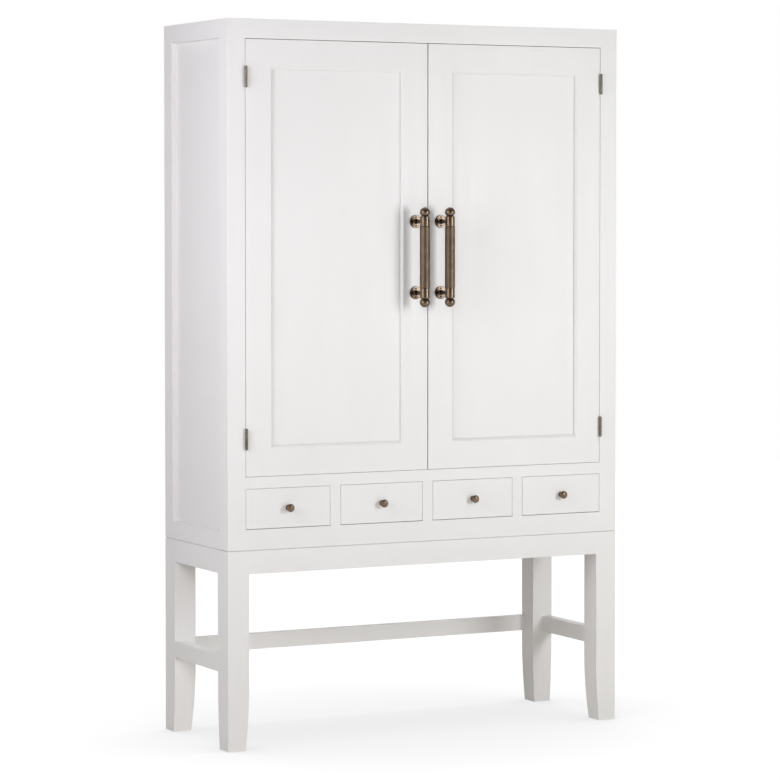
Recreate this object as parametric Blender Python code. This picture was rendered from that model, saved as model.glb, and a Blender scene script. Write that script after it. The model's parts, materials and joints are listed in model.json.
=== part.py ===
"""Two-door painted cupboard on an open stand, with four drawers under the doors.

Metres, +Z up, +Y towards the back. The origin is on the floor, under the middle of the whole
cabinet with its handles. Frame members are joined by mortise and tenon, panels sit in grooves.
"""

import math

import bmesh
import bpy
from mathutils import Matrix, Vector

# Overall
WIDTH = 1.200
DEPTH = 0.4255
FIT = 0.0003
CUT = 0.001
SHARP_ANGLE = math.radians(35)
HEAD_STEPS = 8

# Stand
STAND_HEIGHT = 0.5355
LEG_WIDTH = 0.0625
LEG_DEPTH = 0.0665
FOOT_TAPER = 0.010
TAPER_HEIGHT = 0.195
TAPER_STEPS = 6
APRON_HEIGHT = 0.0625
APRON_THICKNESS = 0.022
STRETCHER_BOTTOM = 0.208
STRETCHER_HEIGHT = 0.045
SIDE_STRETCHER_THICKNESS = 0.030
BACK_STRETCHER_THICKNESS = 0.018

# Case frame
POST_SIDE = 0.0525
RAIL_THICKNESS = 0.024
SIDE_RAIL_THICKNESS = 0.034
SIDE_RAIL_HEIGHT = 0.0495
TOP_RAIL_HEIGHT = 0.052
MIDDLE_RAIL_HEIGHT = 0.0315
BOTTOM_RAIL_HEIGHT = 0.056
DOOR_OPENING_HEIGHT = 1.166
DRAWER_OPENING_HEIGHT = 0.109
TENON_LENGTH = 0.020
TENON_THICKNESS = 0.008
TENON_SHOULDER = 0.010
LEDGE = 0.007

# Case panels and boards
SIDE_PANEL_RECESS = 0.016
SIDE_PANEL_THICKNESS = 0.008
BACK_PANEL_RECESS = 0.008
BACK_PANEL_THICKNESS = 0.006
PANEL_TONGUE = 0.008
TOP_THICKNESS = 0.018
FLOOR_THICKNESS = 0.015
DECK_THICKNESS = 0.015
PARTITION_THICKNESS = 0.031
PARTITION_COUNT = 3
SHELF_THICKNESS = 0.018
SHELF_SETBACK = 0.010
SHELF_BACK_GAP = 0.002
SHELF_HOUSING = 0.006
SHELF_COUNT = 2
GUIDE_WIDTH = 0.018
GUIDE_HEIGHT = 0.020
STOP_HEIGHT = 0.012
STOP_THICKNESS = 0.012

# Doors
DOOR_THICKNESS = 0.022
DOOR_GAP = 0.0015
DOOR_BOTTOM_GAP = 0.001
MEETING_GAP = 0.0036
DOOR_FRAME_WIDTH = 0.0735
MOULDING_WIDTH = 0.0065
MOULDING_DEPTH = 0.005
MOULDING_LIP = 0.001
DOOR_PANEL_THICKNESS = 0.008
DOOR_PANEL_TONGUE = 0.009

# Hinges
HINGE_LENGTH = 0.0535
HINGE_TIP = 0.002
KNUCKLE_RADIUS = 0.004
KNUCKLE_COUNT = 5
KNUCKLE_GAP = 0.0004
PIN_RADIUS = 0.0021
PIN_CLEARANCE = 0.0005
HINGE_PROUD = 0.005
LEAF_DEPTH = 0.018
LEAF_THICKNESS = 0.0015
LEAF_GAP = 0.0004
LEAF_CLEARANCE = 0.0004
HINGE_STEPS = 16

# Door handles
HANDLE_STANDOFF = 0.056
HANDLE_SPACING = 0.1945
GRIP_RADIUS = 0.0138
COLLAR_RADIUS = 0.0131
COLLAR_HEIGHT = 0.028
COLLAR_GROOVE = 0.0008
NECK_RADIUS = 0.0095
NECK_HEIGHT = 0.0015
BALL_RADIUS = 0.014
BALL_HEIGHT = 0.0265
ROSETTE_RADIUS = 0.0177
ROSETTE_THICKNESS = 0.0035
ROSETTE_DOME = 0.0012
ARM_RADIUS = 0.0054
HANDLE_STEPS = 20

# Drawers
DRAWER_SIDE_GAP = 0.0011
DRAWER_TOP_GAP = 0.0009
DRAWER_BOTTOM_GAP = 0.0015
DRAWER_FRONT_THICKNESS = 0.020
DRAWER_SIDE_THICKNESS = 0.012
DRAWER_BOX_HEIGHT = 0.088
DRAWER_BOTTOM_THICKNESS = 0.005
DRAWER_BOTTOM_LIFT = 0.006
DRAWER_JOINT_DEPTH = 0.010
DRAWER_REAR_CLEARANCE = 0.003
KNOB_RADIUS = 0.011
KNOB_LENGTH = 0.021
KNOB_HEAD_LENGTH = 0.012
KNOB_BASE_RADIUS = 0.0082
KNOB_BASE_THICKNESS = 0.0025
KNOB_BASE_COVE = 0.001
KNOB_STEM_RADIUS = 0.0048
KNOB_STEPS = 16

# Places worked out from the sizes above
HANDLE_REACH = HANDLE_STANDOFF + max(BALL_RADIUS, GRIP_RADIUS)
FRONT = (HANDLE_REACH - DEPTH) / 2
BACK = FRONT + DEPTH
HALF_WIDTH = WIDTH / 2
POST_FACE = HALF_WIDTH - POST_SIDE
CASE_BOTTOM = STAND_HEIGHT + FIT
BOTTOM_RAIL_TOP = CASE_BOTTOM + BOTTOM_RAIL_HEIGHT
MIDDLE_RAIL_BOTTOM = BOTTOM_RAIL_TOP + DRAWER_OPENING_HEIGHT
MIDDLE_RAIL_TOP = MIDDLE_RAIL_BOTTOM + MIDDLE_RAIL_HEIGHT
TOP_RAIL_BOTTOM = MIDDLE_RAIL_TOP + DOOR_OPENING_HEIGHT
CASE_TOP = TOP_RAIL_BOTTOM + TOP_RAIL_HEIGHT
SIDE_OPENING_BOTTOM = CASE_BOTTOM + SIDE_RAIL_HEIGHT
SIDE_OPENING_TOP = CASE_TOP - SIDE_RAIL_HEIGHT
BACK_PANEL_FRONT = BACK - BACK_PANEL_RECESS - BACK_PANEL_THICKNESS
SIDE_PANEL_INSIDE = HALF_WIDTH - SIDE_PANEL_RECESS - SIDE_PANEL_THICKNESS
HINGE_X = POST_FACE - DOOR_GAP / 2
HINGE_Y = FRONT - HINGE_PROUD
DOOR_BOTTOM = MIDDLE_RAIL_TOP + DOOR_BOTTOM_GAP
DOOR_TOP = TOP_RAIL_BOTTOM - DOOR_GAP
DOOR_EDGE = POST_FACE - DOOR_GAP
DOOR_MEETING = MEETING_GAP / 2
SIDES = {"left": -1, "right": 1}
ENDS = {"front": -1, "back": 1}


def clear_scene():
    for obj in list(bpy.data.objects):
        bpy.data.objects.remove(obj, do_unlink=True)


def material(name, colour, roughness, metallic=0.0):
    made = bpy.data.materials.new(name)
    made.use_nodes = True
    shader = made.node_tree.nodes["Principled BSDF"]
    shader.inputs["Base Color"].default_value = (*colour, 1.0)
    shader.inputs["Roughness"].default_value = roughness
    shader.inputs["Metallic"].default_value = metallic
    made.diffuse_color = (*colour, 1.0)
    return made


def group(name, place):
    """An empty that carries the pieces of one moving body, on its joint's axis."""
    empty = bpy.data.objects.new(name, None)
    empty.location = place
    bpy.context.scene.collection.objects.link(empty)
    return empty


def piece(name, shape, finish, place=(0, 0, 0), parent=None):
    """An object from a bmesh whose points are counted from place, a point of the world."""
    bmesh.ops.recalc_face_normals(shape, faces=shape.faces)
    mesh = bpy.data.meshes.new(name)
    shape.to_mesh(mesh)
    shape.free()
    if finish:
        mesh.materials.append(finish)
    obj = bpy.data.objects.new(name, mesh)
    bpy.context.scene.collection.objects.link(obj)
    obj.location = place
    if parent:
        obj.parent = parent
        obj.location = Vector(place) - parent.location
    return obj


def add_box(shape, low, high):
    """A closed box between two corners, added to a bmesh."""
    low, high = Vector(low), Vector(high)
    sizes = Matrix.Diagonal((*(high - low), 1.0))
    bmesh.ops.create_cube(shape, size=1.0, matrix=Matrix.Translation((low + high) / 2) @ sizes)


def block(name, low, high, finish, parent=None):
    """A plain board or bar between two corners of the world, its origin in its middle."""
    middle = (Vector(low) + Vector(high)) / 2
    shape = bmesh.new()
    add_box(shape, Vector(low) - middle, Vector(high) - middle)
    return piece(name, shape, finish, middle, parent)


def helper(name, shape, place=(0, 0, 0)):
    """A shape that only cuts or joins: it is drawn as wire and never rendered."""
    obj = piece(name, shape, None, place)
    obj.hide_render = True
    obj.display_type = "WIRE"
    return obj


def box_helper(name, boxes):
    shape = bmesh.new()
    for low, high in boxes:
        add_box(shape, low, high)
    return helper(name, shape)


def combine(target, tool, operation):
    change = target.modifiers.new(f"{operation.lower()}_{tool.name}", "BOOLEAN")
    change.operation = operation
    change.solver = "EXACT"
    change.object = tool


def carve(target, boxes, name):
    """Cuts boxes of the world, which stay clear of each other, out of a piece."""
    combine(target, box_helper(f"{target.name}_{name}", boxes), "DIFFERENCE")


def fuse(target, boxes, name):
    """Joins boxes of the world, which stay clear of each other, to a piece."""
    combine(target, box_helper(f"{target.name}_{name}", boxes), "UNION")


def extruded(outline, along, start, end):
    """A bmesh prism: outline is a list of points in the plane across the axis number along."""
    shape = bmesh.new()

    def corner(point, level):
        values = list(point)
        values.insert(along, level)
        return shape.verts.new(values)

    rings = [[corner(point, level) for point in outline] for level in (start, end)]
    shape.faces.new(rings[0])
    shape.faces.new(rings[1])
    for i in range(len(outline)):
        j = (i + 1) % len(outline)
        shape.faces.new((rings[0][i], rings[0][j], rings[1][j], rings[1][i]))
    return shape


def turned(profile, steps, along):
    """A bmesh of revolution: profile is (radius, level) pairs, ending on the axis or closed on itself."""
    shape = bmesh.new()
    rings = []
    for radius, level in profile:
        count = steps if radius > 0 else 1
        ring = []
        for i in range(count):
            angle = 2 * math.pi * i / steps
            values = [radius * math.cos(angle), radius * math.sin(angle)]
            values.insert(along, level)
            ring.append(shape.verts.new(values))
        rings.append(ring)
    closed = profile[0][0] > 0
    for a, b in zip(rings, rings[1:] + rings[:1] if closed else rings[1:]):
        for i in range(steps):
            j = (i + 1) % steps
            corners = [a[i % len(a)], a[j % len(a)], b[j % len(b)], b[i % len(b)]]
            shape.faces.new(list(dict.fromkeys(corners)))
    return shape


def smooth(obj):
    obj.data.shade_smooth()
    obj.data.set_sharp_from_angle(angle=SHARP_ANGLE)
    return obj


def bar(name, low, high, along, finish):
    """A rail, apron or stretcher between two corners, with a stub tenon at each end of its run."""
    obj = block(name, low, high, finish)
    sizes = Vector(high) - Vector(low)
    narrow = Vector((1.0, 1.0, 1.0))
    narrow[1 - along] = TENON_THICKNESS / sizes[1 - along]
    narrow[2] = (sizes[2] - 2 * TENON_SHOULDER) / sizes[2]
    shape = bmesh.new()
    shape.from_mesh(obj.data)
    for face in [face for face in shape.faces if abs(face.normal[along]) > 0.5]:
        outward = face.normal * TENON_LENGTH
        shoulder = bmesh.ops.extrude_discrete_faces(shape, faces=[face])["faces"][0]
        bmesh.ops.scale(shape, vec=narrow, verts=list(shoulder.verts))
        tip = bmesh.ops.extrude_discrete_faces(shape, faces=[shoulder])["faces"][0]
        bmesh.ops.translate(shape, vec=outward, verts=list(tip.verts))
    bmesh.ops.recalc_face_normals(shape, faces=shape.faces)
    shape.to_mesh(obj.data)
    shape.free()
    return obj


def mortises(low, high, along):
    """The boxes that take the two tenons of a bar, at the low and the high end of its run."""
    across = 1 - along
    middle = (low[across] + high[across]) / 2
    boxes = []
    for end, sign in ((low[along], -1), (high[along], 1)):
        first, last = [0.0] * 3, [0.0] * 3
        first[along], last[along] = sorted((end - sign * CUT, end + sign * (TENON_LENGTH + FIT)))
        first[across] = middle - TENON_THICKNESS / 2 - FIT
        last[across] = middle + TENON_THICKNESS / 2 + FIT
        first[2] = low[2] + TENON_SHOULDER - FIT
        last[2] = high[2] - TENON_SHOULDER + FIT
        boxes.append((first, last))
    return boxes


def span(a, b):
    """Two values in rising order, for a box that is mirrored to the left side."""
    return min(a, b), max(a, b)


def box_between(xs, ys, zs):
    low, high = zip(span(*xs), span(*ys), span(*zs))
    return low, high


def end_face(end):
    return FRONT if end < 0 else BACK


def leg(name, side, end, finish):
    """A leg whose two inner faces curve in towards the foot. Its origin is its outer corner."""
    levels = [TAPER_HEIGHT * i / TAPER_STEPS for i in range(TAPER_STEPS + 1)] + [STAND_HEIGHT]
    shape = bmesh.new()
    rings = []
    for level in levels:
        cut_back = FOOT_TAPER * max(0.0, 1 - level / TAPER_HEIGHT) ** 2
        x, y = -side * (LEG_WIDTH - cut_back), -end * (LEG_DEPTH - cut_back)
        corners = ((0, 0), (x, 0), (x, y), (0, y))
        rings.append([shape.verts.new((*corner, level)) for corner in corners])
    shape.faces.new(rings[0])
    shape.faces.new(rings[-1])
    for lower, upper in zip(rings, rings[1:]):
        for i in range(4):
            shape.faces.new((lower[i], lower[i - 1], upper[i - 1], upper[i]))
    return piece(name, shape, finish, (side * HALF_WIDTH, end_face(end), 0))


def make_stand(paint):
    legs = {}
    sockets = {}
    for end_name, end in ENDS.items():
        for side_name, side in SIDES.items():
            legs[side, end] = leg(f"leg_{end_name}_{side_name}", side, end, paint)
            sockets[side, end] = []
    apron_levels = (STAND_HEIGHT - APRON_HEIGHT, STAND_HEIGHT)
    stretcher_levels = (STRETCHER_BOTTOM, STRETCHER_BOTTOM + STRETCHER_HEIGHT)
    inner = HALF_WIDTH - LEG_WIDTH - FIT
    across = {
        "apron_front": (-1, APRON_THICKNESS, apron_levels),
        "apron_back": (1, APRON_THICKNESS, apron_levels),
        "stretcher_back": (1, BACK_STRETCHER_THICKNESS, stretcher_levels),
    }
    for name, (end, thickness, levels) in across.items():
        face = end_face(end)
        low, high = box_between((-inner, inner), (face, face - end * thickness), levels)
        bar(name, low, high, 0, paint)
        for side, box in zip(SIDES.values(), mortises(low, high, 0)):
            sockets[side, end].append(box)
    along = {
        "apron": (APRON_THICKNESS, apron_levels),
        "stretcher": (SIDE_STRETCHER_THICKNESS, stretcher_levels),
    }
    run = (FRONT + LEG_DEPTH + FIT, BACK - LEG_DEPTH - FIT)
    for side_name, side in SIDES.items():
        for kind, (thickness, levels) in along.items():
            face = side * HALF_WIDTH
            low, high = box_between((face, face - side * thickness), run, levels)
            bar(f"{kind}_{side_name}", low, high, 1, paint)
            for end, box in zip(ENDS.values(), mortises(low, high, 1)):
                sockets[side, end].append(box)
    for key, boxes in sockets.items():
        carve(legs[key], boxes, "mortises")


def make_posts(paint):
    """Four corner posts, grooved for the side panels, and at the back for the back panel."""
    posts = {}
    for end_name, end in ENDS.items():
        for side_name, side in SIDES.items():
            face_x, face_y = side * HALF_WIDTH, end_face(end)
            inner_y = face_y - end * POST_SIDE
            low, high = box_between((face_x, side * POST_FACE), (face_y, inner_y), (CASE_BOTTOM, CASE_TOP))
            post = block(f"post_{end_name}_{side_name}", low, high, paint)
            recess = face_x - side * (SIDE_PANEL_RECESS - FIT)
            inside = face_x - side * (SIDE_PANEL_RECESS + SIDE_PANEL_THICKNESS + FIT)
            groove = (inner_y - end * CUT, inner_y + end * (PANEL_TONGUE + FIT))
            levels = (SIDE_OPENING_BOTTOM - PANEL_TONGUE - FIT, SIDE_OPENING_TOP + PANEL_TONGUE + FIT)
            carve(post, [box_between((recess, inside), groove, levels)], "side_groove")
            posts[side, end] = post
    for side in SIDES.values():
        xs = (side * (POST_FACE - CUT), side * (POST_FACE + PANEL_TONGUE + FIT))
        ys = (BACK_PANEL_FRONT - FIT, BACK - BACK_PANEL_RECESS + FIT)
        zs = (CASE_BOTTOM - CUT, TOP_RAIL_BOTTOM + PANEL_TONGUE + FIT)
        carve(posts[side, 1], [box_between(xs, ys, zs)], "back_groove")
    return posts


def make_rails(paint, posts):
    """The front, back and side rails of the case, with their ledges, grooves and mortises."""
    sockets = {key: [] for key in posts}
    inner = POST_FACE - FIT
    ledges = {
        "face_rail_top": (-1, (TOP_RAIL_BOTTOM, CASE_TOP), TOP_THICKNESS),
        "face_rail_middle": (-1, (MIDDLE_RAIL_BOTTOM, MIDDLE_RAIL_TOP), FLOOR_THICKNESS),
        "face_rail_bottom": (-1, (CASE_BOTTOM, BOTTOM_RAIL_TOP), DECK_THICKNESS),
        "back_rail_top": (1, (TOP_RAIL_BOTTOM, CASE_TOP), TOP_THICKNESS),
    }
    for name, (end, levels, board) in ledges.items():
        face = end_face(end)
        low, high = box_between((-inner, inner), (face, face - end * RAIL_THICKNESS), levels)
        rail = bar(name, low, high, 0, paint)
        inside = face - end * RAIL_THICKNESS
        ledge = (inside - end * CUT, inside + end * LEDGE)
        ledge_levels = (levels[1] - board - FIT, levels[1] + CUT)
        carve(rail, [box_between((-POST_FACE, POST_FACE), ledge, ledge_levels)], "ledge")
        for side, box in zip(SIDES.values(), mortises(low, high, 0)):
            sockets[side, end].append(box)
        if name == "back_rail_top":
            groove = (BACK_PANEL_FRONT - FIT, BACK - BACK_PANEL_RECESS + FIT)
            depth = (levels[0] - CUT, levels[0] + PANEL_TONGUE + FIT)
            carve(rail, [box_between((-POST_FACE, POST_FACE), groove, depth)], "groove")
        if name == "face_rail_top":
            stop_front = FRONT + DOOR_THICKNESS + FIT
            stop_depth = (stop_front, stop_front + STOP_THICKNESS)
            stop_levels = (levels[0] - STOP_HEIGHT, levels[0] + STOP_HEIGHT)
            fuse(rail, [box_between((-inner, inner), stop_depth, stop_levels)], "door_stop")
    run = (FRONT + POST_SIDE + FIT, BACK - POST_SIDE - FIT)
    cut_run = (run[0] - CUT, run[1] + CUT)
    kinds = {
        "top": ((SIDE_OPENING_TOP, CASE_TOP), CASE_TOP - TOP_THICKNESS),
        "bottom": ((CASE_BOTTOM, SIDE_OPENING_BOTTOM), BOTTOM_RAIL_TOP - DECK_THICKNESS),
    }
    for side_name, side in SIDES.items():
        face = side * HALF_WIDTH
        for kind, (levels, seat) in kinds.items():
            low, high = box_between((face, face - side * SIDE_RAIL_THICKNESS), run, levels)
            rail = bar(f"side_rail_{kind}_{side_name}", low, high, 1, paint)
            for end, box in zip(ENDS.values(), mortises(low, high, 1)):
                sockets[side, end].append(box)
            inside = face - side * SIDE_RAIL_THICKNESS
            ledge = (inside - side * CUT, inside + side * LEDGE)
            carve(rail, [box_between(ledge, cut_run, (seat - FIT, levels[1] + CUT))], "ledge")
            recess = face - side * (SIDE_PANEL_RECESS - FIT)
            behind = face - side * (SIDE_PANEL_RECESS + SIDE_PANEL_THICKNESS + FIT)
            edge, inward = (levels[0], 1) if kind == "top" else (levels[1], -1)
            depth = (edge - inward * CUT, edge + inward * (PANEL_TONGUE + FIT))
            carve(rail, [box_between((recess, behind), cut_run, depth)], "groove")
    for key, boxes in sockets.items():
        carve(posts[key], boxes, "mortises")


def notched_board(name, ys, zs, end_half, middle_half, finish):
    """A board across the case, notched round the four posts."""
    notch_front = FRONT + POST_SIDE + FIT
    notch_back = BACK - POST_SIDE - FIT
    right = [(end_half, ys[0]), (end_half, notch_front), (middle_half, notch_front)]
    right += [(middle_half, notch_back), (end_half, notch_back), (end_half, ys[1])]
    outline = right + [(-x, y) for x, y in reversed(right)]
    return piece(name, extruded(outline, 2, zs[0], zs[1]), finish)


def make_case_boards(paint, posts):
    tongue_x = POST_FACE + PANEL_TONGUE
    for side_name, side in SIDES.items():
        xs = (side * (HALF_WIDTH - SIDE_PANEL_RECESS), side * SIDE_PANEL_INSIDE)
        ys = (FRONT + POST_SIDE - PANEL_TONGUE, BACK - POST_SIDE + PANEL_TONGUE)
        zs = (SIDE_OPENING_BOTTOM - PANEL_TONGUE, SIDE_OPENING_TOP + PANEL_TONGUE)
        block(f"side_panel_{side_name}", *box_between(xs, ys, zs), paint)
    ys = (BACK_PANEL_FRONT, BACK - BACK_PANEL_RECESS)
    zs = (CASE_BOTTOM, TOP_RAIL_BOTTOM + PANEL_TONGUE)
    block("back_panel", *box_between((-tongue_x, tongue_x), ys, zs), paint)

    on_front_ledge = FRONT + RAIL_THICKNESS - LEDGE + FIT
    on_back_ledge = BACK - RAIL_THICKNESS + LEDGE - FIT
    on_side_ledge = HALF_WIDTH - SIDE_RAIL_THICKNESS + LEDGE - FIT
    between_posts = POST_FACE - FIT
    between_panels = SIDE_PANEL_INSIDE - FIT
    at_back = BACK_PANEL_FRONT - FIT
    top_levels = (CASE_TOP - TOP_THICKNESS, CASE_TOP)
    floor_levels = (MIDDLE_RAIL_TOP - FLOOR_THICKNESS, MIDDLE_RAIL_TOP)
    deck_levels = (BOTTOM_RAIL_TOP - DECK_THICKNESS, BOTTOM_RAIL_TOP)
    top_run, board_run = (on_front_ledge, on_back_ledge), (on_front_ledge, at_back)
    notched_board("top_panel", top_run, top_levels, between_posts, on_side_ledge, paint)
    notched_board("cupboard_floor", board_run, floor_levels, between_posts, between_panels, paint)
    deck = notched_board("drawer_deck", board_run, deck_levels, between_posts, on_side_ledge, paint)
    guide_run = (FRONT + POST_SIDE + FIT, BACK - POST_SIDE - FIT)
    guide_levels = (BOTTOM_RAIL_TOP - DECK_THICKNESS / 2, BOTTOM_RAIL_TOP + GUIDE_HEIGHT)
    guides = []
    for side in SIDES.values():
        xs = (side * POST_FACE, side * (POST_FACE + GUIDE_WIDTH))
        guides.append(box_between(xs, guide_run, guide_levels))
    fuse(deck, guides, "drawer_guides")

    shelf_front = FRONT + DOOR_THICKNESS + SHELF_SETBACK
    shelf_back = BACK_PANEL_FRONT - SHELF_BACK_GAP
    pitch = (CASE_TOP - TOP_THICKNESS - MIDDLE_RAIL_TOP) / (SHELF_COUNT + 1)
    housings = {key: [] for key in posts}
    for i in range(SHELF_COUNT):
        middle = MIDDLE_RAIL_TOP + (i + 1) * pitch
        levels = (middle - SHELF_THICKNESS / 2, middle + SHELF_THICKNESS / 2)
        in_posts = POST_FACE + SHELF_HOUSING - FIT
        notched_board(f"shelf_{i + 1}", (shelf_front, shelf_back), levels, in_posts, between_panels, paint)
        for side, end in posts:
            xs = (side * (POST_FACE - CUT), side * (POST_FACE + SHELF_HOUSING))
            tip = shelf_front if end < 0 else shelf_back
            ys = (tip + end * FIT, end_face(end) - end * (POST_SIDE + CUT))
            housings[side, end].append(box_between(xs, ys, (levels[0] - FIT, levels[1] + FIT)))
    for key, boxes in housings.items():
        carve(posts[key], boxes, "shelf_housings")


def drawer_opening():
    """Clear width of one drawer opening between two partitions."""
    return (2 * POST_FACE - PARTITION_COUNT * PARTITION_THICKNESS) / (PARTITION_COUNT + 1)


def make_partitions(paint):
    """Upright boards between the drawers: they carry the cupboard floor and show as bars in front."""
    behind_rail = FRONT + RAIL_THICKNESS + FIT
    at_back = BACK_PANEL_FRONT - FIT
    low = BOTTOM_RAIL_TOP + FIT
    under_rail = MIDDLE_RAIL_BOTTOM - FIT
    under_floor = MIDDLE_RAIL_TOP - FLOOR_THICKNESS - FIT
    outline = [(FRONT, low), (at_back, low), (at_back, under_floor), (behind_rail, under_floor)]
    outline += [(behind_rail, under_rail), (FRONT, under_rail)]
    half = PARTITION_THICKNESS / 2
    for i in range(PARTITION_COUNT):
        middle = -POST_FACE + (i + 1) * drawer_opening() + (i + 0.5) * PARTITION_THICKNESS
        piece(f"partition_{i + 1}", extruded(outline, 0, -half, half), paint, (middle, 0, 0))


def make_drawers(paint, bare_wood, bronze):
    opening = drawer_opening()
    half = opening / 2 - DRAWER_SIDE_GAP
    inner = half - DRAWER_SIDE_THICKNESS
    low, high = BOTTOM_RAIL_TOP + DRAWER_BOTTOM_GAP, MIDDLE_RAIL_BOTTOM - DRAWER_TOP_GAP
    box_low = BOTTOM_RAIL_TOP + FIT
    box_high = box_low + DRAWER_BOX_HEIGHT
    front_back = FRONT + DRAWER_FRONT_THICKNESS
    joint = front_back - DRAWER_JOINT_DEPTH
    box_back = BACK_PANEL_FRONT - DRAWER_REAR_CLEARANCE
    floor_low = box_low + DRAWER_BOTTOM_LIFT
    floor_high = floor_low + DRAWER_BOTTOM_THICKNESS
    for i in range(PARTITION_COUNT + 1):
        middle = -POST_FACE + (i + 0.5) * opening + i * PARTITION_THICKNESS
        slide = group(f"drawer_{i + 1}_slide", (middle, FRONT, (low + high) / 2))
        outer_x = (middle - half, middle + half)
        inner_x = (middle - inner, middle + inner)

        face = box_between(outer_x, (FRONT, front_back), (low, high))
        front = block(f"drawer_front_{i + 1}", *face, paint, slide)
        seats = []
        for side in SIDES.values():
            seat = (middle + side * (inner - FIT), middle + side * (half + CUT))
            seats.append(box_between(seat, (joint, front_back + CUT), (low - CUT, box_high + FIT)))
        carve(front, seats, "rabbets")

        outside = box_between(outer_x, (joint + FIT, box_back), (box_low, box_high))
        tray = block(f"drawer_box_{i + 1}", *outside, bare_wood, slide)
        inner_y = (joint - CUT, box_back - DRAWER_SIDE_THICKNESS)
        front_y = (joint - CUT, front_back + FIT)
        carve(tray, [box_between(inner_x, inner_y, (floor_high, box_high + CUT))], "inside")
        carve(tray, [box_between(inner_x, front_y, (box_low - CUT, box_high + CUT))], "mouth")
        carve(tray, [box_between(inner_x, inner_y, (box_low - CUT, floor_low))], "underside")

        seat = (middle, FRONT - FIT, (low + high) / 2)
        smooth(piece(f"drawer_knob_{i + 1}", turned(knob_profile(), KNOB_STEPS, 1), bronze, seat, slide))


def rounded_end(stem_radius, radius, half_height):
    """An oval head on a stem: radius and rise above the head's widest place, up to its tip."""
    under = -math.acos(stem_radius / radius)
    angles = [under + (math.pi / 2 - under) * i / HEAD_STEPS for i in range(HEAD_STEPS)]
    return [(radius * math.cos(a), half_height * math.sin(a)) for a in angles] + [(0, half_height)]


def knob_profile():
    """Radius and level of a mushroom knob, from its base on the drawer front to its crown."""
    head_middle = KNOB_LENGTH - KNOB_HEAD_LENGTH / 2
    points = [(0, 0), (KNOB_BASE_RADIUS, 0), (KNOB_BASE_RADIUS, -KNOB_BASE_THICKNESS)]
    points.append((KNOB_STEM_RADIUS, -KNOB_BASE_THICKNESS - KNOB_BASE_COVE))
    head = rounded_end(KNOB_STEM_RADIUS, KNOB_RADIUS, KNOB_HEAD_LENGTH / 2)
    return points + [(radius, -head_middle - rise) for radius, rise in head]


def handle_profile():
    """Radius and level of the turned bar, from its lower ball to its upper ball."""
    grip_end = (HANDLE_SPACING - COLLAR_HEIGHT) / 2
    collar_end = grip_end + COLLAR_HEIGHT
    ball = rounded_end(NECK_RADIUS, BALL_RADIUS, BALL_HEIGHT / 2)
    ball_middle = collar_end + NECK_HEIGHT - ball[0][1]
    upper = [
        (GRIP_RADIUS, grip_end - COLLAR_GROOVE),
        (GRIP_RADIUS - COLLAR_GROOVE, grip_end),
        (COLLAR_RADIUS, grip_end + COLLAR_GROOVE),
        (COLLAR_RADIUS, collar_end),
        (NECK_RADIUS, collar_end + NECK_HEIGHT / 2),
    ]
    upper += [(radius, ball_middle + rise) for radius, rise in ball]
    return [(radius, -level) for radius, level in reversed(upper)] + upper


def arm_profile():
    """Radius and level of a rosette and the arm that carries the bar, from the door outwards."""
    rim = -ROSETTE_THICKNESS
    crown = rim - ROSETTE_DOME
    return [
        (0, 0),
        (ROSETTE_RADIUS, 0),
        (ROSETTE_RADIUS, rim),
        (ROSETTE_RADIUS - ROSETTE_DOME, rim - ROSETTE_DOME / 2),
        (ARM_RADIUS + ROSETTE_DOME, crown),
        (ARM_RADIUS, crown - ROSETTE_DOME),
        (ARM_RADIUS, -(HANDLE_STANDOFF - FIT)),
        (0, -(HANDLE_STANDOFF - FIT)),
    ]


def make_handle(side_name, side, bronze, hinge):
    x = side * (DOOR_MEETING + DOOR_FRAME_WIDTH / 2)
    z = (DOOR_BOTTOM + DOOR_TOP) / 2
    name = f"handle_{side_name}"
    axis = (x, FRONT - HANDLE_STANDOFF, z)
    handle = piece(name, turned(handle_profile(), HANDLE_STEPS, 2), bronze, axis, hinge)
    for end_name, end in (("lower", -1), ("upper", 1)):
        arm = turned(arm_profile(), HANDLE_STEPS, 1)
        place = (x, FRONT - FIT, z + end * HANDLE_SPACING / 2)
        combine(handle, helper(f"{name}_{end_name}_arm", arm, place), "UNION")
    smooth(handle)


def ring_loft(rings):
    """A closed bmesh through rectangles: each is (half width, half height, level along Y)."""
    shape = bmesh.new()
    made = []
    for half_x, half_z, y in rings:
        corners = ((-1, -1), (1, -1), (1, 1), (-1, 1))
        made.append([shape.verts.new((a * half_x, y, b * half_z)) for a, b in corners])
    shape.faces.new(made[0])
    shape.faces.new(made[-1])
    for a, b in zip(made, made[1:]):
        for i in range(4):
            shape.faces.new((a[i], a[i - 1], b[i - 1], b[i]))
    return shape


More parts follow.
